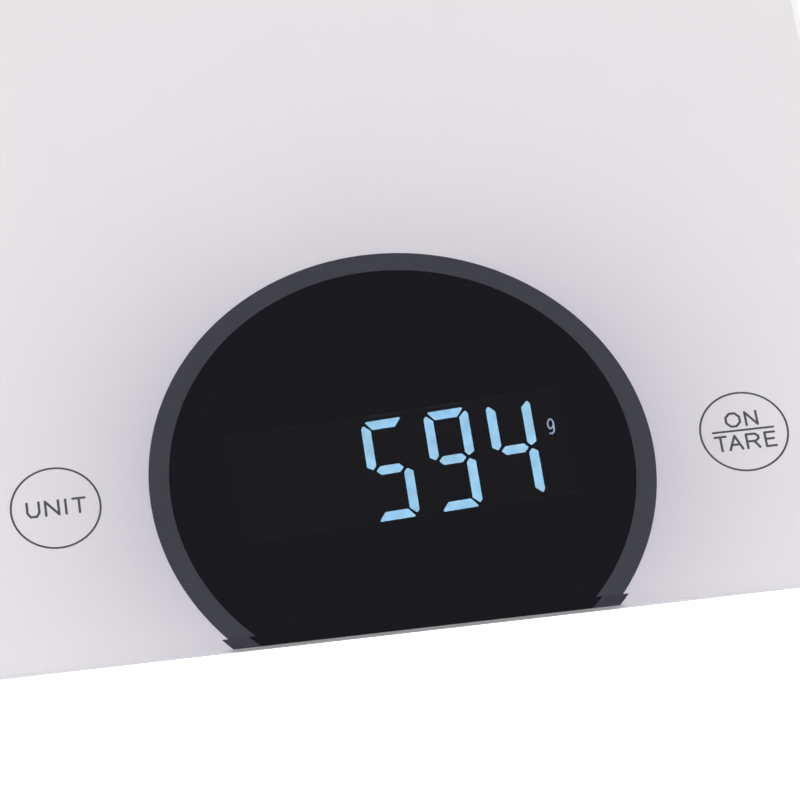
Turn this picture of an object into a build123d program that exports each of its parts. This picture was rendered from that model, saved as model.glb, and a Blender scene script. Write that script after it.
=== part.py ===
from build123d import *
import os
from math import atan2, cos, degrees, radians, sin, tan

# Slim glass kitchen scale with four corner load cells and a lit digit display.
# Millimetres, +Z up, the display edge faces -Y, X = Y = 0 is the plate centre.

os.makedirs("parts", exist_ok=True)

# ---- driving dimensions -------------------------------------------------

plate_width = 180.0
plate_depth = 230.0
plate_thickness = 4.0
plate_corner = 8.0
plate_bevel = 1.45
plate_under_bevel = 1.05
print_thickness = 0.1
tape_thickness = 0.6
tape_width = 6.0

ring_outer = 46.0
ring_inner = 42.3
ring_from_front = 31.85
key_from_front = 32.35
key_offset = 62.95
key_radius = 8.05
key_line = 0.38
letter_stroke = 0.46

plate_overhang = 8.0
tray_corner = 10.0
tray_edge_round = 2.5
wall = 1.8
floor_thickness = 1.8
flange_width = 6.0
flange_thickness = 1.4
tray_bottom = 4.0

cell_radius = 5.25
cell_length = 44.5
cell_nub_radius = 1.9
cell_nub_length = 0.8
cell_spacing = 0.7
cell_below = 0.4
cell_above = 0.2
bay_roof = 1.2
bay_wall = 1.5
bay_from_front = 95.0
bay_end_room = 0.4
contact_thickness = 0.5
contact_spring_length = 4.5
contact_wire = 0.3
spring_seat = 0.02

door_thickness = 1.5
door_lap = 2.3
door_gap = 0.3
door_hinge_gap = 0.8
hinge_back = 1.2
hinge_rise = 1.4
hinge_knuckle = 1.3
hinge_pin = 0.7
hinge_pin_clearance = 0.05
hinge_pin_length = 1.2
hinge_arm_width = 5.0
hinge_arm_x = 20.0
latch_width = 12.0

foot_from_edge = 29.0
sensor_size = 30.0
sensor_corner = 5.0
sensor_thickness = 1.5
sensor_opening = 20.0
tongue_width = 9.0
tongue_gap = 4.0
sensor_bottom = 8.0
sensor_clearance = 0.3
pocket_wall = 1.8
pocket_relief = 1.7
pocket_roof = 1.1
foot_radius = 12.8
foot_top = 6.2
foot_travel = 0.5
pad_radius = 9.5
pad_height = 2.5
pad_recess = 1.0
stud_radius = 1.5
stud_clearance = 0.1
retainer_radius = 3.0
retainer_thickness = 0.6

board_past_foot = 11.5
board_from_front = 15.0
board_depth = 39.5
board_thickness = 1.6
board_lift = 0.4
board_screw_from_foot = 21.5
board_screw_inset = 3.4
screw_radius = 1.0
screw_head_radius = 2.0
screw_head_height = 1.3
screw_length = 6.0
spring_wire = 0.35

case_length = 67.0
case_depth = 25.6
case_height = 3.0
module_x = -0.02
module_from_front = 33.4
module_turn = 3.0
digit_slant = 3.0
digit_width = 8.25
digit_height = 20.5
digit_stroke = 1.8
digit_pitch = 11.6
digit_first = -25.3
digit_depth = 2.2
gasket_width = 2.0

lead_radius = 0.4
lead_pitch = 1.25
lead_bend = 2.5
battery_lead_radius = 0.6

# ---- heights and places that follow -------------------------------------

floor_top = tray_bottom + floor_thickness
cell_axis_z = tray_bottom + door_thickness + cell_below + cell_radius
bay_ceiling = cell_axis_z + cell_radius + cell_above
tray_top = bay_ceiling + bay_roof
print_bottom = tray_top + tape_thickness
glass_bottom = print_bottom + print_thickness
print_width = plate_width - 2 * plate_under_bevel
print_depth = plate_depth - 2 * plate_under_bevel
tray_width = plate_width - 2 * plate_overhang
tray_depth = plate_depth - 2 * plate_overhang
front_y = -plate_depth / 2
window_y = front_y + ring_from_front
key_y = front_y + key_from_front
module_y = front_y + module_from_front
foot_x = plate_width / 2 - foot_from_edge
foot_y = plate_depth / 2 - foot_from_edge
board_length = 2 * (foot_x + board_past_foot)
board_front = front_y + board_from_front
board_rear = board_front + board_depth
board_screw_x = foot_x - board_screw_from_foot
cell_pitch = 2 * cell_radius + cell_spacing
bay_centre_y = front_y + bay_from_front
foot_places = {
    "front_left": (-foot_x, -foot_y),
    "front_right": (foot_x, -foot_y),
    "rear_left": (-foot_x, foot_y),
    "rear_right": (foot_x, foot_y),
}
foot_centres = list(foot_places.values())
sensor_top = sensor_bottom + sensor_thickness
pocket_ceiling = sensor_top + pocket_relief
pocket_top = pocket_ceiling + pocket_roof
pocket_half = sensor_size / 2 + sensor_clearance
board_bottom = pocket_top + board_lift
board_top = board_bottom + board_thickness
board_centre_y = (board_front + board_rear) / 2
case_top = board_top + case_height
bay_half_x = (cell_length + contact_spring_length + 2 * contact_thickness) / 2
bay_half_y = 1.5 * cell_pitch + bay_end_room
recess_half_x = bay_half_x + door_lap
recess_front = bay_centre_y - bay_half_y - door_lap
recess_rear = bay_centre_y + bay_half_y + door_lap + 0.3
door_front = recess_front + door_gap
door_rear = recess_rear - door_hinge_gap
hinge_y = recess_rear + hinge_back
hinge_z = tray_bottom + hinge_rise
cell_ys = [bay_centre_y - cell_pitch, bay_centre_y, bay_centre_y + cell_pitch]


def save(builder, label):
    builder.part.label = label
    export_step(builder.part, "parts/" + label + ".step")


def bar(start, end, width):
    """A round-ended bar from start to end, added to the open sketch."""
    a = Vector(*start)
    b = Vector(*end)
    turn = degrees(atan2((b - a).Y, (b - a).X))
    with Locations((a + b) / 2):
        SlotCenterToCenter((b - a).length, width, rotation=turn)


def strokes(points, corner, width, height, thickness):
    """Bars along points given as fractions of a letter box."""
    places = [(corner[0] + u * width, corner[1] + v * height) for u, v in points]
    for start, end in zip(places[:-1], places[1:]):
        bar(start, end, thickness)


letters = {
    "U": [[(0, 1), (0, 0.28), (0.25, 0), (0.75, 0), (1, 0.28), (1, 1)]],
    "N": [[(0, 0), (0, 1), (1, 0), (1, 1)]],
    "I": [[(0, 0), (0, 1)]],
    "T": [[(0, 1), (1, 1)], [(0.5, 1), (0.5, 0)]],
    "O": [[(0.3, 0), (0.7, 0), (1, 0.3), (1, 0.7), (0.7, 1), (0.3, 1), (0, 0.7), (0, 0.3), (0.3, 0)]],
    "A": [[(0, 0), (0.5, 1), (1, 0)], [(0.2, 0.35), (0.8, 0.35)]],
    "R": [[(0, 0), (0, 1), (0.75, 1), (1, 0.82), (1, 0.65), (0.75, 0.48), (0, 0.48)],
          [(0.6, 0.48), (1, 0)]],
    "E": [[(1, 1), (0, 1), (0, 0), (1, 0)], [(0, 0.53), (0.85, 0.53)]],
}


def letter(name, x, y, width, height):
    """One letter, its outer box starting at x, y."""
    inset = letter_stroke / 2
    for line in letters[name]:
        strokes(line, (x + inset, y + inset), width - letter_stroke, height - letter_stroke,
                letter_stroke)


# ---- glass and the print on its back -------------------------------------

with BuildPart() as glass_platform:
    with BuildSketch(Plane.XY.offset(glass_bottom)):
        RectangleRounded(plate_width, plate_depth, plate_corner)
    extrude(amount=plate_thickness)
    chamfer(glass_platform.faces().sort_by(Axis.Z)[-1].edges(), plate_bevel)
    chamfer(glass_platform.faces().sort_by(Axis.Z)[0].edges(), plate_under_bevel)
save(glass_platform, "glass_platform")

with BuildSketch(Plane.XY.offset(print_bottom)) as legend_sketch:
    for side in (-1, 1):
        with Locations((side * key_offset, key_y)):
            Circle(key_radius + key_line / 2)
            Circle(key_radius - key_line / 2, mode=Mode.SUBTRACT)
    letter("U", -key_offset - 5.35, key_y - 1.6, 2.6, 3.3)
    letter("N", -key_offset - 2.05, key_y - 1.6, 2.8, 3.3)
    letter("I", -key_offset + 1.6, key_y - 1.6, letter_stroke + 0.01, 3.3)
    letter("T", -key_offset + 2.95, key_y - 1.6, 2.6, 3.3)
    letter("O", key_offset - 3.15, key_y + 1.0, 3.0, 3.15)
    letter("N", key_offset + 0.5, key_y + 1.0, 2.5, 3.15)
    bar((key_offset - 5.75, key_y + 0.32), (key_offset + 5.45, key_y + 0.32), 0.42)
    letter("T", key_offset - 5.85, key_y - 3.75, 2.5, 3.3)
    letter("A", key_offset - 3.35, key_y - 3.75, 2.8, 3.3)
    letter("R", key_offset - 0.05, key_y - 3.75, 2.65, 3.3)
    letter("E", key_offset + 3.4, key_y - 3.75, 2.25, 3.3)

with BuildPart() as key_legends:
    extrude(legend_sketch.sketch, amount=print_thickness)
save(key_legends, "key_legends")

with BuildPart() as white_backprint:
    with BuildSketch(Plane.XY.offset(print_bottom)):
        RectangleRounded(print_width, print_depth, plate_corner - plate_under_bevel)
        with Locations((0, window_y)):
            Circle(ring_outer, mode=Mode.SUBTRACT)
    extrude(amount=print_thickness)
    extrude(legend_sketch.sketch, amount=print_thickness, mode=Mode.SUBTRACT)
save(white_backprint, "white_backprint")

with BuildPart() as window_ring_print:
    with BuildSketch(Plane.XY.offset(print_bottom)):
        RectangleRounded(print_width, print_depth, plate_corner - plate_under_bevel)
        with Locations((0, window_y)):
            Circle(ring_outer, mode=Mode.INTERSECT)
            Circle(ring_inner, mode=Mode.SUBTRACT)
    extrude(amount=print_thickness)
save(window_ring_print, "window_ring_print")

with BuildPart() as display_window_film:
    with BuildSketch(Plane.XY.offset(print_bottom)):
        RectangleRounded(print_width, print_depth, plate_corner - plate_under_bevel)
        with Locations((0, window_y)):
            Circle(ring_inner, mode=Mode.INTERSECT)
    extrude(amount=print_thickness)
save(display_window_film, "display_window_film")

post_y = 60.0
with BuildPart() as adhesive_tape:
    with BuildSketch(Plane.XY.offset(tray_top)):
        RectangleRounded(tray_width - 1, tray_depth - 1, tray_corner - 0.5)
        RectangleRounded(tray_width - 2 * tape_width, tray_depth - 2 * tape_width,
                         tray_corner - tape_width + 1, mode=Mode.SUBTRACT)
        with Locations((0, bay_centre_y)):
            RectangleRounded(2 * bay_half_x, 2 * bay_half_y, 2)
        with Locations((0, post_y)):
            Circle(5)
    extrude(amount=tape_thickness)
save(adhesive_tape, "adhesive_tape")

# ---- base shell ------------------------------------------------------------

base_height = tray_top - tray_bottom
bay_base_top = hinge_z + hinge_knuckle + 1.6
slot_rear = hinge_y + hinge_knuckle + 0.7
board_bosses = [(x, y) for x in (-board_screw_x, board_screw_x)
                for y in (board_front + board_screw_inset, board_rear - board_screw_inset)]
rear_lead_x = foot_x + 8
guide_ys = [35.0, 0.0, -35.0]

with BuildPart() as base_shell:
    with BuildSketch(Plane.XY.offset(tray_bottom)):
        RectangleRounded(tray_width, tray_depth, tray_corner)
    extrude(amount=base_height)
    fillet(base_shell.faces().sort_by(Axis.Z)[0].edges(), tray_edge_round)
    with BuildSketch(Plane.XY.offset(floor_top)):
        RectangleRounded(tray_width - 2 * wall, tray_depth - 2 * wall, tray_corner - wall)
    extrude(amount=tray_top - flange_thickness - floor_top, mode=Mode.SUBTRACT)
    with BuildSketch(Plane.XY.offset(tray_top - flange_thickness)):
        RectangleRounded(tray_width - 2 * flange_width, tray_depth - 2 * flange_width,
                         tray_corner - flange_width + 1)
    extrude(amount=flange_thickness, mode=Mode.SUBTRACT)

    # foot pockets: a block at each corner, open underneath
    with BuildSketch(Plane.XY.offset(tray_bottom)):
        with Locations(*foot_centres):
            RectangleRounded(2 * (pocket_half + pocket_wall), 2 * (pocket_half + pocket_wall),
                             sensor_corner + pocket_wall)
    extrude(amount=pocket_top - tray_bottom)
    with BuildSketch(Plane.XY.offset(tray_bottom)):
        with Locations(*foot_centres):
            RectangleRounded(2 * pocket_half, 2 * pocket_half, sensor_corner + sensor_clearance)
    extrude(amount=sensor_top - tray_bottom, mode=Mode.SUBTRACT)
    with BuildSketch(Plane.XY.offset(sensor_top)):
        with Locations(*foot_centres):
            RectangleRounded(sensor_opening + 0.6, sensor_opening + 0.6, 2)
        for x, y in foot_centres:
            inward = -1 if y > 0 else 1
            with Locations((x, y + inward * 14)):
                Rectangle(2 * lead_pitch + 2.4, 10)
    extrude(amount=pocket_relief, mode=Mode.SUBTRACT)
    # holes for the load cell screws
    with BuildSketch(Plane.XY.offset(sensor_top)):
        for place in foot_centres:
            with Locations(place):
                with GridLocations(23, 23, 2, 2):
                    Circle(screw_radius)
    extrude(amount=2.0, mode=Mode.SUBTRACT)

    # board bosses and rests
    with BuildSketch(Plane.XY.offset(floor_top)):
        with Locations(*board_bosses):
            Circle(3)
    extrude(amount=board_bottom - floor_top)
    with BuildSketch(Plane.XY.offset(board_bottom)):
        with Locations(*board_bosses):
            Circle(screw_radius)
    extrude(amount=-screw_length, mode=Mode.SUBTRACT)
    with BuildSketch(Plane.XY.offset(pocket_top)):
        with Locations((-foot_x, board_front + 6), (foot_x, board_front + 6)):
            Rectangle(12, 4)
        with Locations((-foot_x, -foot_y + 12), (foot_x, -foot_y + 12)):
            Rectangle(12, 4)
    extrude(amount=board_lift)

    # battery bay
    with BuildSketch(Plane.XY.offset(tray_bottom)):
        with Locations((0, bay_centre_y)):
            Rectangle(2 * (bay_half_x + bay_wall), 2 * (bay_half_y + bay_wall))
    extrude(amount=base_height)
    with BuildSketch(Plane.XY.offset(tray_bottom)):
        with Locations((0, (recess_front - 6 + slot_rear + 1.6) / 2)):
            RectangleRounded(2 * (recess_half_x + 1.8), slot_rear + 1.6 - recess_front + 6, 2)
    extrude(amount=bay_base_top - tray_bottom)
    with BuildSketch(Plane.XY.offset(tray_bottom)):
        with Locations((0, (recess_front + recess_rear) / 2)):
            RectangleRounded(2 * recess_half_x, recess_rear - recess_front, 1.5)
    extrude(amount=door_thickness + 0.1, mode=Mode.SUBTRACT)
    with BuildSketch(Plane.XY.offset(tray_bottom)):
        with Locations((0, bay_centre_y)):
            Rectangle(2 * bay_half_x, 2 * bay_half_y)
    extrude(amount=bay_ceiling - tray_bottom, mode=Mode.SUBTRACT)
    # cell dividers under the roof
    with BuildSketch(Plane.XY.offset(bay_ceiling)):
        with Locations((0, bay_centre_y - cell_pitch / 2), (0, bay_centre_y + cell_pitch / 2)):
            Rectangle(2 * bay_half_x - 12, 1.2)
    extrude(amount=-2.0)
    # slots for the two solder tabs
    with BuildSketch(Plane.XY.offset(cell_axis_z - 0.25)):
        with Locations((bay_half_x + bay_wall / 2, cell_ys[0]),
                       (-bay_half_x - bay_wall / 2, cell_ys[2])):
            Rectangle(bay_wall + 0.4, 3.4)
    extrude(amount=0.6, mode=Mode.SUBTRACT)
    # door hinge slots and pin holes
    with BuildSketch(Plane.XY.offset(tray_bottom)):
        with Locations((-hinge_arm_x, (recess_rear - 1 + slot_rear) / 2),
                       (hinge_arm_x, (recess_rear - 1 + slot_rear) / 2)):
            Rectangle(hinge_arm_width + 0.6, slot_rear - recess_rear + 1)
    extrude(amount=hinge_z + hinge_knuckle + 0.4 - tray_bottom, mode=Mode.SUBTRACT)
    for side in (-1, 1):
        middle = side * hinge_arm_x
        half = hinge_arm_width / 2 + hinge_pin_length + 0.2
        with BuildSketch(Plane.YZ.offset(middle - half)):
            with Locations((hinge_y, hinge_z)):
                Circle(hinge_pin + hinge_pin_clearance)
        extrude(amount=2 * half, mode=Mode.SUBTRACT)
    # latch pocket and its ledge
    with BuildSketch(Plane.XY.offset(tray_bottom + door_thickness)):
        with Locations((0, (recess_front + bay_centre_y - bay_half_y) / 2)):
            Rectangle(latch_width + 1.2, door_lap + 0.2)
    extrude(amount=3.7, mode=Mode.SUBTRACT)
    with BuildSketch(Plane.XY.offset(tray_bottom + door_thickness + 0.9)):
        with Locations((0, recess_front)):
            Rectangle(latch_width + 1.2, 3.2)
    extrude(amount=2.8, mode=Mode.SUBTRACT)
    # finger scoop in front of the door
    with BuildSketch(Plane.XY.offset(tray_bottom)):
        with Locations((0, recess_front - 1.5)):
            SlotOverall(18, 7)
    extrude(amount=1.2, mode=Mode.SUBTRACT)

    # floor ribs, glass post and wire guides
    with BuildSketch(Plane.XY.offset(floor_top - 0.01)):
        with Locations((0, 30), (0, 60), (0, 90)):
            Rectangle(80, 1.4)
        with Locations((-40, 55), (40, 55)):
            Rectangle(1.4, 80)
    extrude(amount=4)
    with BuildSketch(Plane.XY.offset(floor_top - 0.01)):
        with Locations((0, post_y)):
            Circle(5)
            Circle(2.4, mode=Mode.SUBTRACT)
    extrude(amount=tray_top - floor_top + 0.01)
    with BuildSketch(Plane.XY.offset(floor_top - 0.01)):
        for x in (-rear_lead_x, rear_lead_x):
            for y in guide_ys:
                with Locations((x - 2.6, y), (x + 2.6, y)):
                    Rectangle(1.2, 5)
    extrude(amount=2.6)
save(base_shell, "base_shell")

# ---- board and what stands on it -------------------------------------------

with BuildPart() as main_circuit_board:
    with BuildSketch(Plane.XY.offset(board_bottom)):
        with Locations((0, board_centre_y)):
            RectangleRounded(board_length, board_depth, 1.5)
        with Locations(*board_bosses):
            Circle(screw_radius + 0.15, mode=Mode.SUBTRACT)
    extrude(amount=board_thickness)
save(main_circuit_board, "main_circuit_board")

with BuildPart() as circuit_board_screws:
    with BuildSketch(Plane.XY.offset(board_top)):
        with Locations(*board_bosses):
            Circle(screw_head_radius)
    extrude(amount=screw_head_height)
    fillet(circuit_board_screws.edges().filter_by(GeomType.CIRCLE).group_by(Axis.Z)[-1], 0.5)
    with BuildSketch(Plane.XY.offset(board_top)):
        with Locations(*board_bosses):
            Circle(screw_radius)
    extrude(amount=-screw_length - board_thickness + 0.5)
    with BuildSketch(Plane.XY.offset(board_top + screw_head_height)):
        with Locations(*board_bosses):
            Rectangle(2.2, 0.5)
            Rectangle(0.5, 2.2)
    extrude(amount=-0.7, mode=Mode.SUBTRACT)
save(circuit_board_screws, "circuit_board_screws")


def display_point(x, y):
    """Lean a module point to the right, turn it, then move it to the module."""
    lean = x + y * tan(radians(digit_slant))
    turn = radians(module_turn)
    return (module_x + lean * cos(turn) - y * sin(turn),
            module_y + lean * sin(turn) + y * cos(turn))


def segment(name, middle):
    """One bar of a digit whose middle stands at x = middle in the module."""
    w = digit_width / 2
    h = digit_height / 2
    t = digit_stroke
    across = [(-w + 0.7, h), (w - 0.7, h), (w - t - 0.25, h - t), (-w + t + 0.25, h - t)]
    centre_bar = [(-w + 1.6, 0), (-w + 2.4, t / 2), (w - 2.4, t / 2), (w - 1.6, 0),
                  (w - 2.4, -t / 2), (-w + 2.4, -t / 2)]
    upright = [(w, h - t + 0.4), (w - 0.45, h - 0.68), (w - t + 0.1, h - t - 0.15),
               (w - t + 0.1, 1.1), (w - 1.05, 0.28), (w, 1.0)]
    shapes = {
        "top": across,
        "middle": centre_bar,
        "bottom": [(x, -y) for x, y in across],
        "upper_right": upright,
        "upper_left": [(-x, y) for x, y in upright],
        "lower_right": [(x, -y) for x, y in upright],
        "lower_left": [(-x, -y) for x, y in upright],
    }
    corners = [display_point(middle + x, y) for x, y in shapes[name]]
    Polygon(*corners, align=None)


every_segment = ["top", "middle", "bottom", "upper_right", "upper_left", "lower_right",
                 "lower_left"]
lit = {
    0: [],
    1: [],
    2: ["top", "upper_left", "middle", "lower_right", "bottom"],
    3: ["top", "upper_left", "upper_right", "middle", "lower_right", "bottom"],
    4: ["upper_left", "upper_right", "middle", "lower_right"],
}
digit_middles = [digit_first + place * digit_pitch for place in range(5)]
symbol_x = digit_middles[-1] + 7.2
symbol_size = 0.9

with BuildSketch(Plane.XY.offset(case_top)) as lit_sketch:
    for place, names in lit.items():
        for name in names:
            segment(name, digit_middles[place])
    fillet(lit_sketch.vertices(), 0.22)

with BuildSketch(Plane.XY.offset(case_top)) as unlit_sketch:
    for place, names in lit.items():
        for name in every_segment:
            if name not in names:
                segment(name, digit_middles[place])
    fillet(unlit_sketch.vertices(), 0.22)

# a small lower-case g: a narrow loop and a hooked stem
g_loop = [(-0.28, -0.4), (0.2, -0.3), (0.55, 0.3), (0.6, 1.1), (0.3, 1.7), (-0.1, 1.75),
          (-0.5, 1.2), (-0.58, 0.3), (-0.28, -0.4)]
g_stem = [(0.6, 1.1), (0.62, -0.2), (0.45, -1.2), (0.0, -1.6), (-0.4, -1.4)]
with BuildSketch(Plane.XY.offset(case_top)) as symbol_sketch:
    for line in (g_loop, g_stem):
        places = [display_point(symbol_x + symbol_size * x, 3.4 + symbol_size * y) for x, y in line]
        for start, end in zip(places[:-1], places[1:]):
            bar(start, end, 0.27)

case_centre = display_point(0, 0)
with BuildPart() as digit_module_case:
    with BuildSketch(Plane.XY.offset(board_top)):
        with Locations(Location(case_centre, module_turn)):
            RectangleRounded(case_length, case_depth, 0.8)
    extrude(amount=case_height)
    for cavity in (lit_sketch, unlit_sketch, symbol_sketch):
        extrude(cavity.sketch, amount=-digit_depth, mode=Mode.SUBTRACT)
save(digit_module_case, "digit_module_case")

with BuildPart() as lit_segments:
    extrude(lit_sketch.sketch, amount=-digit_depth)
save(lit_segments, "lit_segments")

with BuildPart() as unlit_segments:
    extrude(unlit_sketch.sketch, amount=-digit_depth)
save(unlit_segments, "unlit_segments")

with BuildPart() as gram_symbol:
    extrude(symbol_sketch.sketch, amount=-digit_depth)
save(gram_symbol, "gram_symbol")

with BuildPart() as display_foam_gasket:
    with BuildSketch(Plane.XY.offset(case_top)):
        with Locations(Location(case_centre, module_turn)):
            RectangleRounded(case_length, case_depth, 0.8)
            RectangleRounded(case_length - 2 * gasket_width, case_depth - 2 * gasket_width, 0.8,
                             mode=Mode.SUBTRACT)
    extrude(amount=print_bottom - case_top)
save(display_foam_gasket, "display_foam_gasket")

chip_size = 10.0
chip_height = 1.3
chip_place = (-12.0, board_front + 20.0)
amplifier_place = (14.0, board_front + 20.0)
with BuildPart() as controller_chip:
    with BuildSketch(Plane.XY.offset(board_bottom - 0.1)):
        with Locations(chip_place):
            Rectangle(chip_size, chip_size)
    extrude(amount=-chip_height)
    chamfer(controller_chip.faces().sort_by(Axis.Z)[0].edges(), 0.25)
save(controller_chip, "controller_chip")

with BuildPart() as amplifier_chip:
    with BuildSketch(Plane.XY.offset(board_bottom - 0.1)):
        with Locations(amplifier_place):
            Rectangle(10, 3.9)
    extrude(amount=-chip_height)
    chamfer(amplifier_chip.faces().sort_by(Axis.Z)[0].edges(), 0.25)
save(amplifier_chip, "amplifier_chip")

leg_reach = 1.1
with BuildPart() as chip_legs:
    with BuildSketch(Plane.XY.offset(board_bottom)):
        for side in (-1, 1):
            edge = side * (chip_size / 2 + leg_reach / 2)
            with Locations((chip_place[0] + edge, chip_place[1])):
                with GridLocations(1, 0.8, 1, 11):
                    Rectangle(leg_reach, 0.35)
            with Locations((chip_place[0], chip_place[1] + edge)):
                with GridLocations(0.8, 1, 11, 1):
                    Rectangle(0.35, leg_reach)
            with Locations((amplifier_place[0], amplifier_place[1] + side * (1.95 + leg_reach / 2))):
                with GridLocations(1.27, 1, 8, 1):
                    Rectangle(0.4, leg_reach)
    extrude(amount=-0.35)
save(chip_legs, "chip_legs")

with BuildPart() as filter_capacitors:
    with BuildSketch(Plane.XY.offset(board_bottom)):
        with Locations((28, board_front + 26), (28, board_front + 12)):
            Circle(2.5)
    extrude(amount=-5.4)
    fillet(filter_capacitors.edges().filter_by(GeomType.CIRCLE).group_by(Axis.Z)[0], 0.4)
save(filter_capacitors, "filter_capacitors")

with BuildPart() as small_resistors:
    with BuildSketch(Plane.XY.offset(board_bottom)):
        with Locations((14, board_front + 10)):
            with GridLocations(3.4, 3, 4, 2):
                Rectangle(2, 1.25)
        with Locations((-28, board_front + 20)):
            with GridLocations(4, 3, 2, 5):
                Rectangle(2, 1.25)
    extrude(amount=-0.5)
save(small_resistors, "small_resistors")


def touch_spring(x):
    """Conical wire spring from the board to the back of the glass."""
    low = board_top + spring_wire
    tall = print_bottom - spring_wire - low
    lean = -1.2 / tall
    with BuildPart() as spring:
        with BuildLine():
            path = Helix(pitch=tall / 4, height=tall, radius=4.6, center=(x, key_y, low),
                         cone_angle=lean * 45)
        with BuildSketch(Plane(origin=path @ 0, z_dir=path % 0)):
            Circle(spring_wire)
        sweep(path=path, is_frenet=True)
    return spring


touch_spring_unit = touch_spring(-key_offset)
save(touch_spring_unit, "touch_spring_unit")
touch_spring_tare = touch_spring(key_offset)
save(touch_spring_tare, "touch_spring_tare")

# ---- cells and contacts ------------------------------------------------------


def battery(y, positive_side):
    """One AAA cell along X, its raised end toward positive_side."""
    nub_end = positive_side * (bay_half_x - contact_thickness)
    with BuildPart() as cell:
        with BuildSketch(Plane.YZ.offset(nub_end)):
            with Locations((y, cell_axis_z)):
                Circle(cell_nub_radius)
        extrude(amount=-positive_side * cell_nub_length)
        with BuildSketch(Plane.YZ.offset(nub_end - positive_side * cell_nub_length)):
            with Locations((y, cell_axis_z)):
                Circle(cell_radius)
        extrude(amount=-positive_side * (cell_length - cell_nub_length))
        rims = cell.edges().filter_by(GeomType.CIRCLE)
        fillet(rims.filter_by(lambda edge: edge.radius > cell_radius - 0.1), 0.35)
    return cell


battery_front = battery(cell_ys[0], 1)
save(battery_front, "battery_front")
battery_middle = battery(cell_ys[1], -1)
save(battery_middle, "battery_middle")
battery_rear = battery(cell_ys[2], 1)
save(battery_rear, "battery_rear")

contact_half = 4.5


def contact(side, y_low, y_high, spring_y=None, tab_y=None):
    """A contact plate on the bay's end wall, with a spring or a solder tab."""
    face = side * (bay_half_x - contact_thickness)
    with BuildPart() as plate:
        with BuildSketch(Plane.YZ.offset(face)):
            with Locations(((y_low + y_high) / 2, cell_axis_z)):
                RectangleRounded(y_high - y_low + 2 * contact_half, 2 * contact_half - 0.6, 1)
        extrude(amount=side * contact_thickness)
        if spring_y is not None:
            start = face - side * (contact_wire + spring_seat)
            reach = contact_spring_length - 2 * contact_wire - 2 * spring_seat
            with BuildLine():
                coil = Helix(pitch=reach / 3.5, height=reach, radius=3.6,
                             center=(start, spring_y, cell_axis_z), direction=(-side, 0, 0),
                             cone_angle=-20)
            with BuildSketch(Plane(origin=coil @ 0, z_dir=coil % 0)):
                Circle(contact_wire)
            sweep(path=coil, is_frenet=True)
        if tab_y is not None:
            with BuildSketch(Plane.XY.offset(cell_axis_z - 0.2)):
                with Locations((side * (bay_half_x + 2.4), tab_y)):
                    Rectangle(5.2, 3)
            extrude(amount=0.4)
    return plate


contact_positive = contact(1, cell_ys[0], cell_ys[0], tab_y=cell_ys[0])
save(contact_positive, "contact_positive")
contact_negative = contact(-1, cell_ys[2], cell_ys[2], spring_y=cell_ys[2], tab_y=cell_ys[2])
save(contact_negative, "contact_negative")
contact_bridge_left = contact(-1, cell_ys[0], cell_ys[1], spring_y=cell_ys[0])
save(contact_bridge_left, "contact_bridge_left")
contact_bridge_right = contact(1, cell_ys[1], cell_ys[2], spring_y=cell_ys[1])
save(contact_bridge_right, "contact_bridge_right")

# ---- battery door ------------------------------------------------------------

door_half_x = recess_half_x - door_gap
with BuildPart() as battery_door:
    with BuildSketch(Plane.XY.offset(tray_bottom)):
        with Locations((0, (door_front + door_rear) / 2)):
            RectangleRounded(2 * door_half_x, door_rear - door_front, 1.2)
    extrude(amount=door_thickness)
    for side in (-1, 1):
        middle = side * hinge_arm_x
        with BuildSketch(Plane.YZ.offset(middle - hinge_arm_width / 2)):
            with Locations((hinge_y, hinge_z)):
                Circle(hinge_knuckle)
            with BuildLine():
                Polyline((door_rear - 0.8, tray_bottom + 0.3), (hinge_y, hinge_z - hinge_knuckle),
                         (hinge_y, hinge_z + 0.1), (door_rear - 0.8, tray_bottom + door_thickness),
                         close=True)
            make_face()
        extrude(amount=hinge_arm_width)
        pin_half = hinge_arm_width / 2 + hinge_pin_length
        with BuildSketch(Plane.YZ.offset(middle - pin_half)):
            with Locations((hinge_y, hinge_z)):
                Circle(hinge_pin)
        extrude(amount=2 * pin_half)
    # grip grooves beside the latch
    with BuildSketch(Plane.XY.offset(tray_bottom)):
        with Locations((0, door_front + 5)):
            with GridLocations(1, 2, 1, 4):
                SlotOverall(16, 0.9)
    extrude(amount=0.35, mode=Mode.SUBTRACT)
save(battery_door, "battery_door")

blade_y = door_front + 0.5
with BuildPart() as battery_door_latch:
    with BuildSketch(Plane.YZ.offset(-latch_width / 2)):
        with BuildLine():
            Polyline((blade_y, tray_bottom + door_thickness), (blade_y, hinge_z + 1.6),
                     (blade_y - 1.6, hinge_z + 1.6), (blade_y - 1.6, hinge_z + 2.0),
                     (blade_y, hinge_z + 3.0), (blade_y + 0.8, hinge_z + 3.0),
                     (blade_y + 0.8, tray_bottom + door_thickness), close=True)
        make_face()
    extrude(amount=latch_width)
save(battery_door_latch, "battery_door_latch")

# ---- load cells and feet -----------------------------------------------------


def inward_of(y):
    return -1 if y > 0 else 1


def load_cell(place):
    """Steel frame with a tongue that the foot pushes on."""
    x, y = place
    inward = inward_of(y)
    with BuildPart() as frame:
        with BuildSketch(Plane.XY.offset(sensor_bottom)):
            with Locations((x, y)):
                RectangleRounded(sensor_size, sensor_size, sensor_corner)
                RectangleRounded(sensor_opening, sensor_opening, 2, mode=Mode.SUBTRACT)
                with GridLocations(23, 23, 2, 2):
                    Circle(screw_radius, mode=Mode.SUBTRACT)
            with Locations((x, y + inward * tongue_gap / 2)):
                RectangleRounded(tongue_width, sensor_opening - tongue_gap + 3, 1.4)
            with Locations((x, y)):
                Circle(stud_radius + stud_clearance, mode=Mode.SUBTRACT)
        extrude(amount=sensor_thickness)
    return frame


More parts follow.
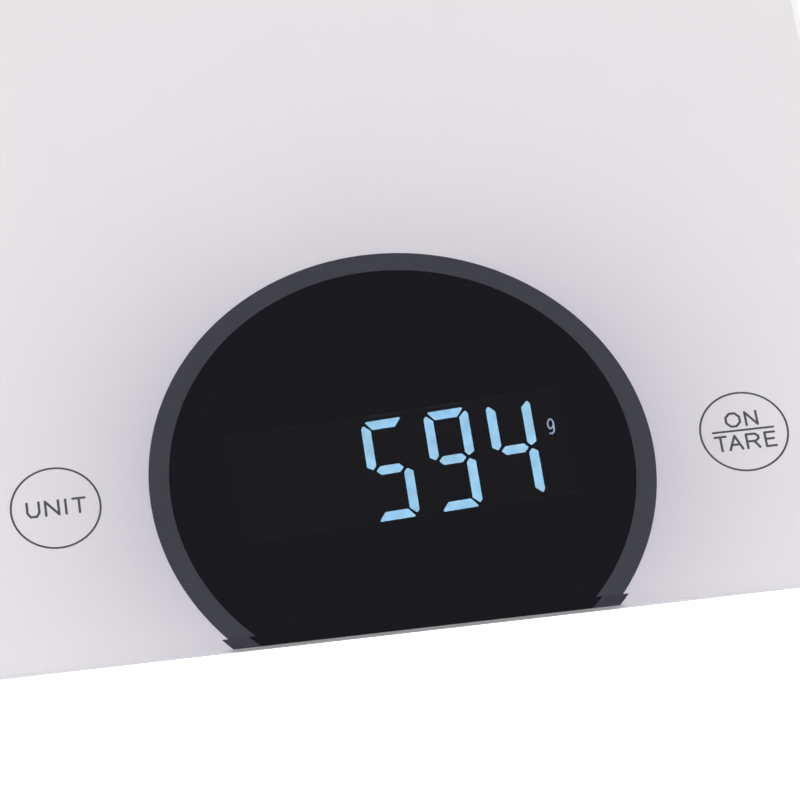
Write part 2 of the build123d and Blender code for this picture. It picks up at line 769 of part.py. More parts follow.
def strain_gauge(place):
    """Sealed gauge patch at the root of the tongue."""
    x, y = place
    with BuildPart() as patch:
        with BuildSketch(Plane.XY.offset(sensor_top)):
            with Locations((x, y + inward_of(y) * 6.6)):
                RectangleRounded(6.4, 5.2, 1.2)
        extrude(amount=0.4)
    return patch


def foot_cup(place):
    """Plastic foot with a recess for the pad and a stud through the tongue."""
    x, y = place
    with BuildPart() as cup:
        with BuildSketch(Plane.XY.offset(pad_height - pad_recess)):
            with Locations((x, y)):
                Circle(foot_radius)
        extrude(amount=foot_top - pad_height + pad_recess)
        fillet(cup.edges().group_by(Axis.Z)[0], 0.8)
        with BuildSketch(Plane.XY.offset(pad_height - pad_recess)):
            with Locations((x, y)):
                Circle(pad_radius)
        extrude(amount=pad_recess, mode=Mode.SUBTRACT)
        with BuildSketch(Plane.XY.offset(foot_top)):
            with Locations((x, y)):
                Circle(4)
        extrude(amount=sensor_bottom - foot_top)
        with BuildSketch(Plane.XY.offset(sensor_bottom)):
            with Locations((x, y)):
                Circle(stud_radius)
        extrude(amount=sensor_thickness + retainer_thickness)
    return cup


def foot_pad(place):
    """Rubber pad with two grip rings."""
    with BuildPart() as pad:
        with BuildSketch():
            with Locations(place):
                Circle(pad_radius)
        extrude(amount=pad_height)
        fillet(pad.edges().group_by(Axis.Z)[0], 0.5)
        with BuildSketch():
            with Locations(place):
                Circle(6.5)
                Circle(5.5, mode=Mode.SUBTRACT)
                Circle(3.0)
                Circle(2.0, mode=Mode.SUBTRACT)
        extrude(amount=0.5, mode=Mode.SUBTRACT)
    return pad


def foot_retainer(place):
    """Washer pressed on the stud above the tongue."""
    with BuildPart() as washer:
        with BuildSketch(Plane.XY.offset(sensor_top)):
            with Locations(place):
                Circle(retainer_radius)
                Circle(stud_radius, mode=Mode.SUBTRACT)
        extrude(amount=retainer_thickness)
    return washer


lead_z = sensor_top + 0.4 + lead_radius + 0.05
pad_y = board_rear - 2.7


def load_cell_leads(place):
    """Three leads from the gauge over the rear edge of the board to its pads."""
    x, y = place
    start_y = y + inward_of(y) * 7.6
    top_z = board_top + 2.3
    floor_z = floor_top + lead_radius + 0.2
    with BuildPart() as leads:
        for number in (-1, 0, 1):
            wire_x = x + number * lead_pitch
            far_x = (1 if x > 0 else -1) * rear_lead_x + number * lead_pitch
            if y < 0:
                corners = [(wire_x, start_y, lead_z), (wire_x, board_rear + 4, lead_z),
                           (wire_x, board_rear + 4, top_z), (wire_x, pad_y, top_z),
                           (wire_x, pad_y, board_top)]
                bends = [lead_bend, lead_bend, 1.5]
            else:
                corners = [(wire_x, start_y, lead_z), (wire_x, y - 23, lead_z),
                           (wire_x, y - 27, floor_z), (wire_x, y - 35, floor_z),
                           (far_x, y - 43, floor_z), (far_x, board_rear + 5.5, floor_z),
                           (far_x, board_rear + 5.5, top_z), (far_x, pad_y, top_z),
                           (far_x, pad_y, board_top)]
                bends = [lead_bend, lead_bend, lead_bend, lead_bend, lead_bend, lead_bend, 1.5]
            with BuildLine():
                route = FilletPolyline(*corners, radius=bends)
            with BuildSketch(Plane(origin=route @ 0, z_dir=route % 0)):
                Circle(lead_radius)
            sweep(path=route)
    return leads


for corner_name, corner_place in foot_places.items():
    save(load_cell(corner_place), "load_cell_" + corner_name)
    save(strain_gauge(corner_place), "strain_gauge_" + corner_name)
    save(foot_cup(corner_place), "foot_cup_" + corner_name)
    save(foot_pad(corner_place), "foot_pad_" + corner_name)
    save(foot_retainer(corner_place), "foot_retainer_" + corner_name)
    save(load_cell_leads(corner_place), "load_cell_leads_" + corner_name)

with BuildPart() as load_cell_screws:
    for place in foot_centres:
        with BuildSketch(Plane.XY.offset(sensor_bottom)):
            with Locations(place):
                with GridLocations(23, 23, 2, 2):
                    Circle(1.75)
        extrude(amount=-1.2)
        with BuildSketch(Plane.XY.offset(sensor_bottom)):
            with Locations(place):
                with GridLocations(23, 23, 2, 2):
                    Circle(screw_radius)
        extrude(amount=sensor_thickness + 1.8)
        with BuildSketch(Plane.XY.offset(sensor_bottom - 1.2)):
            with Locations(place):
                with GridLocations(23, 23, 2, 2):
                    Rectangle(2.0, 0.45)
                    Rectangle(0.45, 2.0)
        extrude(amount=0.6, mode=Mode.SUBTRACT)
save(load_cell_screws, "load_cell_screws")

# ---- battery leads -------------------------------------------------------------


def battery_lead(side, y):
    """One lead from a solder tab to a pad on the board's rear edge."""
    tab_z = cell_axis_z + 0.2 + battery_lead_radius
    out_x = side * (bay_half_x + 8)
    top_z = board_top + 2.3
    corners = [(side * (bay_half_x + bay_wall + 0.7), y, tab_z), (out_x, y, tab_z),
               (out_x, board_rear + 4, tab_z), (out_x, board_rear + 4, top_z),
               (out_x, pad_y, top_z), (out_x, pad_y, board_top)]
    with BuildPart() as lead:
        with BuildLine():
            route = FilletPolyline(*corners, radius=[3.0, 2.5, 2.5, 1.5])
        with BuildSketch(Plane(origin=route @ 0, z_dir=route % 0)):
            Circle(battery_lead_radius)
        sweep(path=route)
    return lead


battery_lead_red = battery_lead(1, cell_ys[0])
save(battery_lead_red, "battery_lead_red")
battery_lead_black = battery_lead(-1, cell_ys[2])
save(battery_lead_black, "battery_lead_black")

solder_places = [(side * (bay_half_x + 8), battery_lead_radius) for side in (-1, 1)]
for side in (-1, 1):
    for number in (-1, 0, 1):
        solder_places.append((side * foot_x + number * lead_pitch, lead_radius))
        solder_places.append((side * rear_lead_x + number * lead_pitch, lead_radius))

with BuildPart() as solder_joints:
    for x, bore in solder_places:
        with BuildSketch(Plane.XY.offset(board_top)):
            with Locations((x, pad_y)):
                Circle(bore + 0.18)
                Circle(bore, mode=Mode.SUBTRACT)
        extrude(amount=0.6)
save(solder_joints, "solder_joints")
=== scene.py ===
import bpy
import math
import numpy as np
from mathutils import Matrix, Vector


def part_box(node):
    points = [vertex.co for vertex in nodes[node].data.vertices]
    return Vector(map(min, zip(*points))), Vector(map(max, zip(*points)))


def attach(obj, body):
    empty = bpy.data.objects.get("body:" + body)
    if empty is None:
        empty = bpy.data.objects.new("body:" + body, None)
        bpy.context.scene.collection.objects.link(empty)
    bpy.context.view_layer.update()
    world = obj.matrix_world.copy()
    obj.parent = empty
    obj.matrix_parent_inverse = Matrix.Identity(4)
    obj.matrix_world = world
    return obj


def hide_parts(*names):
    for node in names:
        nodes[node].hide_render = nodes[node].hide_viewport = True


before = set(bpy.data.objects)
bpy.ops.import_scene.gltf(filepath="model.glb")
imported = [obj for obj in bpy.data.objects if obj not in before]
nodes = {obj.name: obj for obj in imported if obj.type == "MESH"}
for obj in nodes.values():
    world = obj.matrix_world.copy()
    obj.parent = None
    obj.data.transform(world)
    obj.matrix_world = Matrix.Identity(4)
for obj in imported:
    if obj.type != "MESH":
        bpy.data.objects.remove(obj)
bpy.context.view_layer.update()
scene = bpy.context.scene
scene.view_settings.view_transform = "Standard"
scene.view_settings.look = "None"

MODULE_TURN = math.radians(3.0)
PLATE_CORNER = 0.008
UPPER_BEVEL = 0.00145
LOWER_BEVEL = 0.00105
PRINT_BOND = 0.00005
# Painted shade on the white print round the display ring: how fast it fades with distance, and its darkest
# tint
SHADE_HALO_FALL_PER_METRE = -45.0
SHADE_HALO_TINT = (0.68, 0.665, 0.72)
PANE_HALF_X = 0.031
PANE_HALF_Y = 0.0112
PANE_BLUR = 0.0002
PANE_CLARITY = 0.45
CORNERS = ("front_left", "front_right", "rear_left", "rear_right")
glass_low, glass_high = (Vector(corner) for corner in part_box("glass_platform"))
ring_low, ring_high = (Vector(corner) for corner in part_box("window_ring_print"))
ring_radius = (ring_high.x - ring_low.x) / 2
ring_centre = (0.0, ring_high.y - ring_radius)


# ---- camera ---------------------------------------------------------------

def make_camera():
    """Long lens from the front and above, turned a little to the right."""
    data = bpy.data.cameras.new("camera")
    data.sensor_width = 36.0
    data.lens = 186.37
    data.clip_end = 50.0
    data.clip_start = 0.05
    camera = bpy.data.objects.new("camera", data)
    scene.collection.objects.link(camera)
    right = Vector((0.9893, -0.1419, 0.0341)).normalized()
    forward = Vector((0.0979, 0.4716, -0.8763)).normalized()
    up = right.cross(forward).normalized()
    right = forward.cross(up)
    turn = Matrix((right, up, -forward)).transposed().to_4x4()
    place = Vector((-0.0725, glass_low.y - 0.3101, glass_high.z + 0.6603))
    camera.matrix_world = Matrix.Translation(place) @ turn
    scene.camera = camera


make_camera()


# ---- node helpers -----------------------------------------------------------

class Shade:
    """A material under construction, with short calls for its nodes."""

    def __init__(self, name):
        self.mat = bpy.data.materials.new(name)
        self.mat.use_nodes = True
        self.tree = self.mat.node_tree
        self.tree.nodes.clear()
        self.out = self.tree.nodes.new("ShaderNodeOutputMaterial")
        self.coord = self.tree.nodes.new("ShaderNodeTexCoord").outputs["Object"]

    def add(self, kind, **values):
        """A node; attributes in lower case, sockets by name through inputs."""
        node = self.tree.nodes.new("ShaderNode" + kind)
        for key, value in values.items():
            setattr(node, key, value)
        return node

    def link(self, source, target):
        self.tree.links.new(source, target)

    def feed(self, socket, value):
        if isinstance(value, bpy.types.NodeSocket):
            self.link(value, socket)
        else:
            socket.default_value = value

    def principled(self, base, rough, **sockets):
        node = self.add("BsdfPrincipled")
        self.feed(node.inputs["Base Color"], base)
        self.feed(node.inputs["Roughness"], rough)
        for key, value in sockets.items():
            self.feed(node.inputs[key.replace("_", " ")], value)
        return node

    def noise(self, scale, detail=3.0, rough=0.5, stretch=None):
        """Noise value from object coordinates, about 1 / scale metres in size."""
        where = self.coord
        if stretch is not None:
            mapping = self.add("Mapping")
            mapping.inputs["Scale"].default_value = stretch
            self.link(self.coord, mapping.inputs["Vector"])
            where = mapping.outputs["Vector"]
        node = self.add("TexNoise")
        node.inputs["Scale"].default_value = scale
        node.inputs["Detail"].default_value = detail
        node.inputs["Roughness"].default_value = rough
        self.link(where, node.inputs["Vector"])
        return node.outputs["Fac"]

    def ramp(self, value, low, high, start, end):
        """Maps value from low..high to start..end, clamped."""
        node = self.add("MapRange")
        for key, item in zip(("Value", "From Min", "From Max", "To Min", "To Max"),
                             (value, low, high, start, end)):
            self.feed(node.inputs[key], item)
        return node.outputs["Result"]

    def math(self, operation, first, second=0.0):
        node = self.add("Math", operation=operation)
        self.feed(node.inputs[0], first)
        self.feed(node.inputs[1], second)
        return node.outputs[0]

    def blend(self, factor, first, second):
        """Colour from first (factor 0) to second (factor 1)."""
        node = self.add("Mix", data_type="RGBA")
        self.feed(node.inputs["Factor"], factor)
        self.feed(node.inputs[6], first)
        self.feed(node.inputs[7], second)
        return node.outputs[2]

    def bump(self, height, distance, strength=1.0):
        node = self.add("Bump")
        node.inputs["Distance"].default_value = distance
        node.inputs["Strength"].default_value = strength
        self.link(height, node.inputs["Height"])
        return node.outputs["Normal"]

    def axes(self):
        node = self.add("SeparateXYZ")
        self.link(self.coord, node.inputs[0])
        return node.outputs

    def mix(self, factor, first, second):
        """Shader from first (factor 0) to second (factor 1)."""
        node = self.add("MixShader")
        self.feed(node.inputs[0], factor)
        self.link(first, node.inputs[1])
        self.link(second, node.inputs[2])
        return node.outputs[0]

    def done(self, shader):
        self.link(shader, self.out.inputs["Surface"])
        return self.mat


def colour(r, g, b):
    return (r, g, b, 1.0)


def scaled(tone, factor):
    return (tone[0] * factor, tone[1] * factor, tone[2] * factor, 1.0)


# ---- materials ----------------------------------------------------------------

def glass_material():
    """Clear float glass, polished on top and bevel, ground on its upright edge."""
    s = Shade("float_glass")
    polished = s.principled(colour(0.985, 0.995, 0.992), 0.0, IOR=1.52, Transmission_Weight=1.0)
    streaks = s.noise(900.0, 4.0, 0.6, stretch=(0.25, 0.25, 3.0))
    grain = s.noise(6500.0, 2.0)
    ground = s.principled(colour(0.55, 0.55, 0.58), s.ramp(streaks, 0.3, 0.7, 0.34, 0.5),
                          IOR=1.52, Transmission_Weight=0.82)
    s.link(s.bump(s.math("ADD", streaks, s.math("MULTIPLY", grain, 0.4)), 0.00002),
           ground.inputs["Normal"])
    facing = s.add("SeparateXYZ")
    s.link(s.add("NewGeometry").outputs["True Normal"], facing.inputs[0])
    upright = s.ramp(s.math("ABSOLUTE", facing.outputs["Z"]), 0.25, 0.4, 1.0, 0.0)
    solid = s.mix(upright, polished.outputs[0], ground.outputs[0])
    clear = s.add("BsdfTransparent")
    clear.inputs[0].default_value = colour(0.95, 0.955, 0.955)
    path = s.add("LightPath")
    through = s.math("MAXIMUM", path.outputs["Is Shadow Ray"], path.outputs["Is Diffuse Ray"])
    return s.done(s.mix(through, solid, clear.outputs[0]))


def enamel_material(name, tone, spread=0.02, painted_shade_halo=False):
    """Screen-printed enamel: faint mottling, and optionally painted shade: a darker ring round the window
    that stands in for shading and is stronger to its sides.
    """
    s = Shade(name)
    mottle = s.ramp(s.noise(60.0, 5.0, 0.6), 0.3, 0.7, 1.0 - spread, 1.0 + spread)
    tint = s.add("VectorMath", operation="SCALE")
    tint.inputs[0].default_value = tone[:3]
    s.link(mottle, tint.inputs["Scale"])
    base = tint.outputs[0]
    if painted_shade_halo:
        # Painted shade: the print darkens near the ring, more to its left and right, in place of shading
        # round the window
        away = s.add("VectorMath", operation="DISTANCE")
        s.link(s.coord, away.inputs[0])
        away.inputs[1].default_value = (ring_centre[0], ring_centre[1], glass_low.z)
        gap = s.math("MAXIMUM", s.math("SUBTRACT", away.outputs["Value"], ring_radius), 0.0)
        aside = s.math("DIVIDE", s.math("ABSOLUTE", s.axes()["X"]), away.outputs["Value"])
        side_shade_weight = s.ramp(aside, 0.3, 1.0, 0.72, 1.0)
        painted_shade_weight = s.math("MULTIPLY", s.math("EXPONENT", s.math("MULTIPLY", gap, SHADE_HALO_FALL_PER_METRE)), side_shade_weight)
        painted_shade_tone = s.add("VectorMath", operation="MULTIPLY")
        s.link(base, painted_shade_tone.inputs[0])
        painted_shade_tone.inputs[1].default_value = SHADE_HALO_TINT
        base = s.blend(painted_shade_weight, base, painted_shade_tone.outputs[0])
    grain = s.noise(9000.0, 2.0)
    node = s.principled(base, 0.5)
    s.link(s.bump(grain, 0.000004), node.inputs["Normal"])
    return s.done(node.outputs[0])


def film_material():
    """Smoked film: black ink all over except a smoky pane above the digit module."""
    s = Shade("smoked_film")
    low, high = (Vector(corner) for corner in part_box("digit_module_case"))
    middle = (low + high) / 2
    local = s.add("Mapping", vector_type="TEXTURE")
    local.inputs["Location"].default_value = middle
    local.inputs["Rotation"].default_value = (0.0, 0.0, MODULE_TURN)
    s.link(s.coord, local.inputs["Vector"])
    split = s.add("SeparateXYZ")
    s.link(local.outputs["Vector"], split.inputs[0])
    in_x = s.ramp(s.math("ABSOLUTE", split.outputs["X"]),
                  PANE_HALF_X - PANE_BLUR, PANE_HALF_X + PANE_BLUR, 1.0, 0.0)
    in_y = s.ramp(s.math("ABSOLUTE", split.outputs["Y"]),
                  PANE_HALF_Y - PANE_BLUR, PANE_HALF_Y + PANE_BLUR, 1.0, 0.0)
    pane = s.math("MULTIPLY", in_x, in_y)
    grain = s.ramp(s.noise(7000.0, 2.0), 0.3, 0.7, 0.9, 1.1)
    tone = s.add("VectorMath", operation="SCALE")
    tone.inputs[0].default_value = (0.0036, 0.0030, 0.0052)
    s.link(grain, tone.inputs["Scale"])
    dark = s.principled(tone.outputs[0], 0.35)
    dark.inputs["Specular IOR Level"].default_value = 0.0
    clear = s.add("BsdfTransparent")
    clear.inputs[0].default_value = colour(0.95, 0.97, 1.0)
    return s.done(s.mix(s.math("MULTIPLY", pane, PANE_CLARITY), dark.outputs[0], clear.outputs[0]))


def lit_material(name, tone, strength):
    """Glowing diffuser, uneven in brightness and a little in tint."""
    s = Shade(name)
    drift = s.ramp(s.noise(420.0, 2.0), 0.3, 0.7, 0.88, 1.1)
    cool = (tone[0] * 0.84, tone[1] * 0.96, tone[2] * 1.05, 1.0)
    glow = s.add("Emission")
    s.link(s.blend(s.ramp(s.noise(650.0, 3.0), 0.38, 0.62, 0.0, 1.0), tone, cool),
           glow.inputs["Color"])
    s.link(s.math("MULTIPLY", drift, strength), glow.inputs["Strength"])
    return s.done(glow.outputs[0])


def plastic_material(name, tone, rough=0.45, grain_size=0.0005, depth=0.00002, mottle=0.04):
    """Moulded plastic with spark-eroded texture and slight colour drift."""
    s = Shade(name)
    drift = s.ramp(s.noise(45.0, 4.0), 0.3, 0.7, 1.0 - mottle, 1.0 + mottle)
    base = s.add("VectorMath", operation="SCALE")
    base.inputs[0].default_value = tone[:3]
    s.link(drift, base.inputs["Scale"])
    grain = s.noise(1.0 / grain_size, 3.0, 0.6)
    node = s.principled(base.outputs[0], s.ramp(grain, 0.3, 0.7, rough - 0.06, rough + 0.08))
    s.link(s.bump(grain, depth), node.inputs["Normal"])
    return s.done(node.outputs[0])


def metal_material(name, tone, rough=0.3, stretch=(1.0, 1.0, 1.0), grain=1500.0, depth=0.000006):
    """Plated or drawn metal with fine streaks and dull patches."""
    s = Shade(name)
    streaks = s.noise(grain, 4.0, 0.6, stretch=stretch)
    patches = s.noise(180.0, 3.0)
    base = s.blend(s.ramp(patches, 0.35, 0.7, 0.0, 1.0), tone, scaled(tone, 0.8))
    node = s.principled(base, s.ramp(patches, 0.3, 0.75, rough - 0.07, rough + 0.13), Metallic=1.0)
    s.link(s.bump(streaks, depth), node.inputs["Normal"])
    return s.done(node.outputs[0])


def board_material():
    """Green solder mask over faint copper tracks."""
    s = Shade("solder_mask")
    x, y, z = s.axes()
    lanes = s.math("ABSOLUTE", s.math("SINE", s.math("MULTIPLY", s.math("ADD", y, s.math(
        "MULTIPLY", s.ramp(s.noise(90.0, 0.0), 0.4, 0.6, 0.0, 1.0), 0.0012)), 3000.0)))
    track = s.ramp(lanes, 0.62, 0.72, 0.0, 1.0)
    base = s.blend(track, colour(0.012, 0.085, 0.035), colour(0.02, 0.14, 0.055))
    node = s.principled(base, 0.32)
    s.link(s.bump(track, 0.00003), node.inputs["Normal"])
    return s.done(node.outputs[0])


def rubber_material(name, tone):
    s = Shade(name)
    speck = s.noise(2600.0, 4.0, 0.7)
    bloom = s.ramp(s.noise(220.0, 3.0), 0.4, 0.75, 0.0, 1.0)
    base = s.blend(bloom, tone, scaled(tone, 1.6))
    node = s.principled(base, s.ramp(speck, 0.3, 0.7, 0.68, 0.86))
    s.link(s.bump(speck, 0.00004), node.inputs["Normal"])
    return s.done(node.outputs[0])


def foam_material(name, tone):
    s = Shade(name)
    cells = s.add("TexVoronoi", feature="DISTANCE_TO_EDGE")
    cells.inputs["Scale"].default_value = 2600.0
    s.link(s.coord, cells.inputs["Vector"])
    edge = s.ramp(cells.outputs["Distance"], 0.0, 0.25, 0.0, 1.0)
    node = s.principled(s.blend(edge, scaled(tone, 0.55), tone), 0.85)
    s.link(s.bump(edge, 0.00008), node.inputs["Normal"])
    return s.done(node.outputs[0])


def cell_material(name, positive_side):
    """AAA cell: printed jacket with two bands, bare steel at both ends."""
    s = Shade(name)
    low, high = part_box(name)
    x, y, z = s.axes()
    plus_end = high[0] if positive_side > 0 else low[0]
    along = s.math("MULTIPLY", s.math("SUBTRACT", plus_end, x), float(positive_side))
    length = high[0] - low[0]
    band = s.ramp(along, 0.0118, 0.0119, 0.0, 1.0)
    print_tone = s.blend(band, colour(0.55, 0.58, 0.6), colour(0.03, 0.075, 0.12))
    stripe = s.math("MULTIPLY", s.ramp(along, 0.0125, 0.0126, 0.0, 1.0),
                    s.ramp(along, 0.0134, 0.0135, 1.0, 0.0))
    print_tone = s.blend(stripe, print_tone, colour(0.7, 0.72, 0.72))
    jacket = s.principled(print_tone, s.ramp(s.noise(300.0), 0.3, 0.7, 0.22, 0.34))
    jacket.inputs["Coat Weight"].default_value = 0.4
    steel = s.principled(colour(0.62, 0.62, 0.61), s.ramp(s.noise(1200.0), 0.3, 0.7, 0.25, 0.42),
                         Metallic=1.0)
    inside = s.math("MULTIPLY", s.ramp(along, 0.0014, 0.0015, 0.0, 1.0),
                    s.ramp(along, length - 0.0007, length - 0.0006, 1.0, 0.0))
    off_axis = s.add("VectorMath", operation="DISTANCE")
    flat = s.add("CombineXYZ")
    s.link(y, flat.inputs[1])
    s.link(z, flat.inputs[2])
    s.link(flat.outputs[0], off_axis.inputs[0])
    off_axis.inputs[1].default_value = (0.0, (low[1] + high[1]) / 2, (low[2] + high[2]) / 2)
    rim = s.ramp(off_axis.outputs["Value"], 0.0046, 0.0047, 0.0, 1.0)
    return s.done(s.mix(s.math("MULTIPLY", inside, rim), steel.outputs[0], jacket.outputs[0]))


def lead_material(name, place):
    """Three insulated leads side by side: red, black and white."""
    s = Shade(name)
    x, y, z = s.axes()
    node = s.add("ValToRGB")
    node.color_ramp.interpolation = "CONSTANT"
    stops = node.color_ramp.elements
    stops[0].color = colour(0.45, 0.015, 0.012)
    stops[1].position = 1 / 3
    stops[1].color = colour(0.015, 0.015, 0.016)
    third = stops.new(2 / 3)
    third.color = colour(0.7, 0.7, 0.68)
    low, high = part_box(name)
    front = name.split("_")[3] == "front"
    if front:
        share = s.ramp(x, low[0], high[0], 0.0, 1.0)
    else:
        middle = place[0]
        side = 1.0 if middle > 0 else -1.0
        shift = s.ramp(y, place[1] - 0.043, place[1] - 0.035, 0.008 * side, 0.0)
        share = s.ramp(s.math("SUBTRACT", x, shift), middle - 0.0019, middle + 0.0019, 0.0, 1.0)
    s.link(share, node.inputs["Fac"])
    body = s.principled(node.outputs["Color"], s.ramp(s.noise(800.0), 0.3, 0.7, 0.35, 0.5))
    s.link(s.bump(s.noise(1500.0), 0.00001), body.inputs["Normal"])
    return s.done(body.outputs[0])


materials = {
    # White print, with painted shade round the display window
    "white_backprint": enamel_material("white_enamel", colour(0.765, 0.733, 0.750), 0.006, True),
    "window_ring_print": enamel_material("slate_enamel", colour(0.0145, 0.0148, 0.0240), 0.05),
    "key_legends": enamel_material("legend_ink", colour(0.045, 0.045, 0.056), 0.08),
    "display_window_film": film_material(),
    "adhesive_tape": foam_material("tape_foam", colour(0.72, 0.71, 0.68)),
    "display_foam_gasket": foam_material("gasket_foam", colour(0.02, 0.02, 0.02)),
    "base_shell": plastic_material("tray_plastic", colour(0.70, 0.70, 0.71), 0.5, 0.00045, 0.00003),
    "battery_door": plastic_material("door_plastic", colour(0.69, 0.69, 0.70), 0.48, 0.00045, 0.00003),
    "battery_door_latch": plastic_material("latch_plastic", colour(0.68, 0.68, 0.69), 0.48),
    "main_circuit_board": board_material(),
    "digit_module_case": plastic_material("module_black", colour(0.0010, 0.0010, 0.0012), 0.8),
    "lit_segments": lit_material("lit_digit", (2.09, 3.5, 4.44, 1.0), 1.0),
    "unlit_segments": plastic_material("unlit_digit", colour(0.006, 0.006, 0.007), 0.55),
    "gram_symbol": lit_material("lit_symbol", (2.3, 2.6, 3.1, 1.0), 0.9),
    "controller_chip": plastic_material("controller_epoxy", colour(0.018, 0.018, 0.019), 0.5, 0.0002),
    "amplifier_chip": plastic_material("amplifier_epoxy", colour(0.02, 0.02, 0.02), 0.5, 0.0002),
    "small_resistors": plastic_material("resistor_body", colour(0.03, 0.03, 0.032), 0.4, 0.0002),
    "chip_legs": metal_material("tinned_legs", colour(0.72, 0.72, 0.72), 0.3),
    "filter_capacitors": metal_material("capacitor_sleeve", colour(0.35, 0.37, 0.42), 0.35),
    "solder_joints": metal_material("solder", colour(0.66, 0.66, 0.66), 0.28),
    "circuit_board_screws": metal_material("board_screw_zinc", colour(0.6, 0.6, 0.59), 0.32),
    "load_cell_screws": metal_material("cell_screw_zinc", colour(0.6, 0.6, 0.59), 0.32),
    "touch_spring_unit": metal_material("unit_spring_wire", colour(0.6, 0.6, 0.61), 0.25),
    "touch_spring_tare": metal_material("tare_spring_wire", colour(0.6, 0.6, 0.61), 0.25),
    "battery_front": cell_material("battery_front", 1),
    "battery_middle": cell_material("battery_middle", -1),
    "battery_rear": cell_material("battery_rear", 1),
    "battery_lead_red": plastic_material("red_insulation", colour(0.42, 0.012, 0.01), 0.4, 0.001),
    "battery_lead_black": plastic_material("black_insulation", colour(0.012, 0.012, 0.013), 0.4, 0.001),
}
for part in ("contact_positive", "contact_negative", "contact_bridge_left", "contact_bridge_right"):
    materials[part] = metal_material(part + "_nickel", colour(0.64, 0.63, 0.6), 0.25, (1, 1, 0.1))
cell_steel = metal_material("sensor_nickel", colour(0.55, 0.55, 0.54), 0.34, (0.15, 1.0, 1.0))
gauge_seal = plastic_material("gauge_sealant", colour(0.66, 0.64, 0.56), 0.3, 0.002, 0.0001)
cup_plastic = plastic_material("foot_plastic", colour(0.66, 0.66, 0.67), 0.42)
pad_rubber = rubber_material("foot_rubber", colour(0.022, 0.022, 0.024))
washer_zinc = metal_material("washer_zinc", colour(0.6, 0.6, 0.58), 0.3)
for corner in CORNERS:
    low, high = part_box("load_cell_" + corner)
    centre = ((low[0] + high[0]) / 2, (low[1] + high[1]) / 2)
    materials["load_cell_" + corner] = cell_steel
    materials["strain_gauge_" + corner] = gauge_seal
    materials["foot_cup_" + corner] = cup_plastic
    materials["foot_pad_" + corner] = pad_rubber
    materials["foot_retainer_" + corner] = washer_zinc
    materials["load_cell_leads_" + corner] = lead_material("load_cell_leads_" + corner, centre)

for part, finish in materials.items():
    for slot in nodes[part].material_slots:
        slot.link = "OBJECT"
        slot.material = finish


# ---- pieces made here ----------------------------------------------------------

def new_piece(name, points, faces, finish, body="scale"):
    mesh = bpy.data.meshes.new(name)
    mesh.from_pydata(points.tolist(), [], faces)
    mesh.update()
    mesh.polygons.foreach_set("use_smooth", [True] * len(mesh.polygons))
    piece = bpy.data.objects.new(name, mesh)
    scene.collection.objects.link(piece)
    mesh.materials.append(finish)
    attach(piece, body)
    return piece


def rounded_slab(name, profile, half_x, half_y, radius, finish, steps=28):
    """Closed slab: for each (inset d, height z) of profile a rounded rectangle.

    Corner point = (sx (half_x - radius) + (radius - d) cos a,
                    sy (half_y - radius) + (radius - d) sin a, z), a turning once round.
    """
    turn = np.linspace(0.0, math.pi / 2, steps + 1)
    angles = np.concatenate([turn + quarter * math.pi / 2 for quarter in range(4)])
    sx = np.repeat([1.0, -1.0, -1.0, 1.0], steps + 1)
    sy = np.repeat([1.0, 1.0, -1.0, -1.0], steps + 1)
    d = np.array([p[0] for p in profile])[:, None]
    z = np.array([p[1] for p in profile])[:, None]
    x = sx * (half_x - radius) + (radius - d) * np.cos(angles)
    y = sy * (half_y - radius) + (radius - d) * np.sin(angles)
    count = angles.size
    points = np.stack([x, y, np.broadcast_to(z, x.shape)], axis=-1).reshape(-1, 3)
    rows = np.arange(len(profile) - 1)[:, None] * count
    a = np.arange(count)
    b = (a + 1) % count
    quads = np.stack([rows + a, rows + b, rows + count + b, rows + count + a], axis=-1)
    faces = quads.reshape(-1, 4).tolist()
    faces.append(list(range(count - 1, -1, -1)))
    faces.append(list(range((len(profile) - 1) * count, len(profile) * count)))
    return new_piece(name, points, faces, finish)


def soft_turn(corner, before, after, radius, steps=4):
    """Points of a small arc that rounds a profile corner."""
    corner, before, after = np.array(corner), np.array(before), np.array(after)
    u = (before - corner) / np.linalg.norm(before - corner)
    v = (after - corner) / np.linalg.norm(after - corner)
    half = math.acos(float(np.clip(u @ v, -1, 1))) / 2
    reach = radius / math.tan(half)
    centre = corner + (u + v) / np.linalg.norm(u + v) * radius / math.sin(half)
    start, end = corner + u * reach - centre, corner + v * reach - centre
    sweep = math.pi - 2 * half
    share = np.linspace(0, 1, steps + 1)[:, None]
    arc = (np.sin((1 - share) * sweep) * start + np.sin(share * sweep) * end) / math.sin(sweep)
    return [tuple(p) for p in centre + arc]


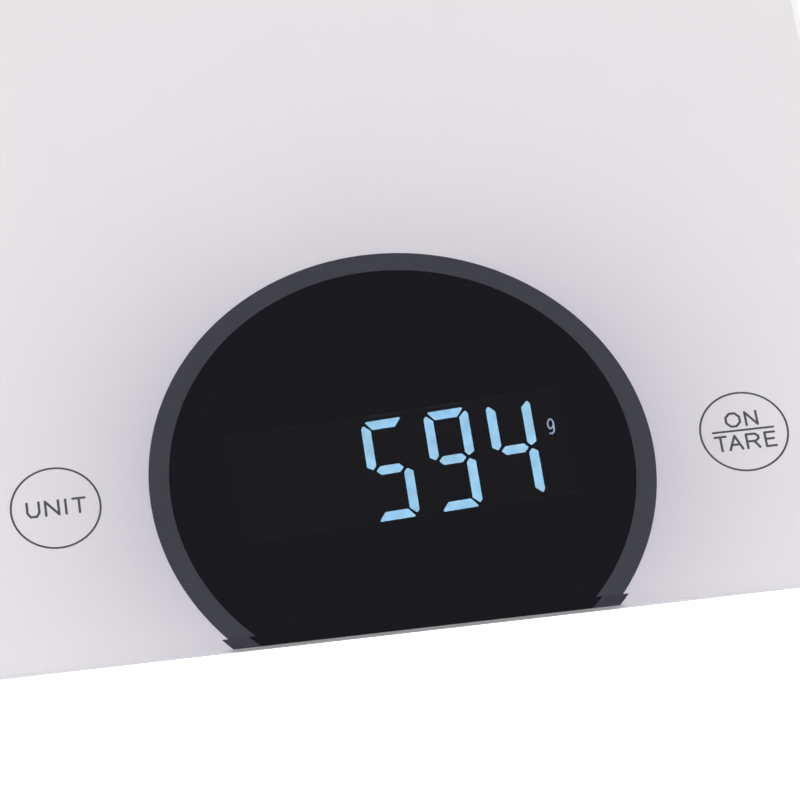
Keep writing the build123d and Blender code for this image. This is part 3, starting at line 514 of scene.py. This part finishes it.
def make_glass():
    """The glass plate: ground edge, polished upper bevel with a crisp upper line."""
    bevel, under = UPPER_BEVEL, LOWER_BEVEL
    bottom = glass_low.z - PRINT_BOND
    top = glass_high.z
    sole, heel = (under, bottom), (0.0, glass_low.z + under)
    shoulder, brow = (0.0, top - bevel), (bevel, top)
    inner_low = (0.01, bottom)
    profile = [(under + 0.0012, bottom), (under + 0.0003, bottom)]
    profile += soft_turn(sole, inner_low, heel, 0.00012)
    profile += soft_turn(heel, sole, shoulder, 0.00014)
    profile += soft_turn(shoulder, heel, brow, 0.00008)
    profile += [brow, (bevel + 0.0012, top)]
    plate = rounded_slab("platform_glass", profile, glass_high.x, glass_high.y, PLATE_CORNER,
                         glass_material())
    plate.data.set_sharp_from_angle(angle=math.radians(20.0))
    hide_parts("glass_platform")
    return plate


make_glass()


# ---- stage and light ------------------------------------------------------------

def make_floor():
    mesh = bpy.data.meshes.new("floor")
    mesh.from_pydata([(-6, -6, 0), (6, -6, 0), (6, 6, 0), (-6, 6, 0)], [], [(0, 1, 2, 3)])
    floor = bpy.data.objects.new("floor", mesh)
    scene.collection.objects.link(floor)
    s = Shade("pale_floor")
    base = s.blend(s.ramp(s.noise(6.0, 3.0), 0.3, 0.7, 0.0, 1.0), colour(0.93, 0.93, 0.93),
                   colour(0.95, 0.95, 0.95))
    node = s.principled(base, 0.7)
    node.inputs["Emission Color"].default_value = colour(1.0, 1.0, 1.0)
    node.inputs["Emission Strength"].default_value = 0.5
    mesh.materials.append(s.done(node.outputs[0]))


def soft_light(name, place, aim, size, power, tone=(1.0, 1.0, 1.0)):
    data = bpy.data.lights.new(name, "AREA")
    data.shape = "RECTANGLE"
    data.size, data.size_y = size
    data.energy = power
    data.color = tone
    lamp = bpy.data.objects.new(name, data)
    scene.collection.objects.link(lamp)
    direction = Vector(aim) - Vector(place)
    lamp.matrix_world = (Matrix.Translation(place)
                         @ direction.to_track_quat("-Z", "Y").to_matrix().to_4x4())


make_floor()
SOFTBOXES = (
    ("key_softbox", (-1.0, -0.9, 1.5), (0, 0, 0), (1.2, 1.2), 21.5),
    ("front_softbox", (0.15, -1.15, 1.9), (0, -0.1, 0), (1.6, 0.7), 23.9),
    ("side_softbox", (1.5, -0.1, 1.1), (0, 0, 0), (1.0, 1.2), 12.3),
    ("back_softbox", (-0.9, 1.5, 0.8), (0, 0, 0), (1.2, 0.7), 7.2),
)
for softbox in SOFTBOXES:
    soft_light(*softbox)
world = bpy.data.worlds.new("studio")
world.use_nodes = True
world.node_tree.nodes["Background"].inputs["Color"].default_value = (0.167, 0.167, 0.176, 1.0)
world.node_tree.nodes["Background"].inputs["Strength"].default_value = 1.0
scene.world = world
